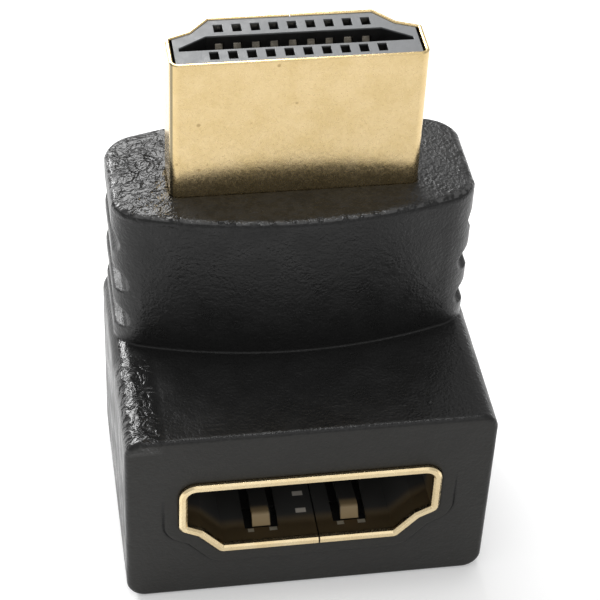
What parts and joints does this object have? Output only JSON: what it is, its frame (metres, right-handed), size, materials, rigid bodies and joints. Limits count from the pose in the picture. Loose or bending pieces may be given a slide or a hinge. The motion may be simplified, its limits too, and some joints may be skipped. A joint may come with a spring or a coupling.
{
  "type": "right angle digital video adapter",
  "caption": "Right angle digital video adapter: a D-shaped plug stands up from a black L-shaped moulding, and a matching socket opens in the end of its lower arm.",
  "frame": {"origin": "middle of the box seen from above, at the height of the underside", "axes": "+Z along the plug towards its tip, -Y out of the socket, X across both arms"},
  "size_m": [0.0208, 0.0174, 0.0304],
  "materials": {
    "housing": "soft black plastic, moulded with a fine spark grain, semi-gloss on the shoulder and edges",
    "inner_moulding": "black plastic, hidden but for what shows through the windows of the socket's shell",
    "gold_shell": "satin champagne gold plating",
    "plug_insulator": "dark grey moulded plastic, satin",
    "socket_insulator": "black moulded plastic, satin",
    "contacts": "thin gold flash over copper alloy",
    "circuit_board": "green lacquered laminate, hidden"
  },
  "bodies": {
    "root": {"housing": "housing", "inner_moulding": "inner_moulding", "plug_shell": "gold_shell", "plug_insulator": "plug_insulator", "socket_shell": "gold_shell", "socket_insulator": "socket_insulator", "circuit_board": "circuit_board", "plug_contact_01": "contacts", "plug_contact_02": "contacts", "plug_contact_03": "contacts", "plug_contact_04": "contacts", "plug_contact_05": "contacts", "plug_contact_06": "contacts", "plug_contact_07": "contacts", "plug_contact_08": "contacts", "plug_contact_09": "contacts", "plug_contact_10": "contacts", "plug_contact_11": "contacts", "plug_contact_12": "contacts", "plug_contact_13": "contacts", "plug_contact_14": "contacts", "plug_contact_15": "contacts", "plug_contact_16": "contacts", "plug_contact_17": "contacts", "plug_contact_18": "contacts", "plug_contact_19": "contacts", "socket_contact_01": "contacts", "socket_contact_02": "contacts", "socket_contact_03": "contacts", "socket_contact_04": "contacts", "socket_contact_05": "contacts", "socket_contact_06": "contacts", "socket_contact_07": "contacts", "socket_contact_08": "contacts", "socket_contact_09": "contacts", "socket_contact_10": "contacts", "socket_contact_11": "contacts", "socket_contact_12": "contacts", "socket_contact_13": "contacts", "socket_contact_14": "contacts", "socket_contact_15": "contacts", "socket_contact_16": "contacts", "socket_contact_17": "contacts", "socket_contact_18": "contacts", "socket_contact_19": "contacts"}
  },
  "joints": []
}
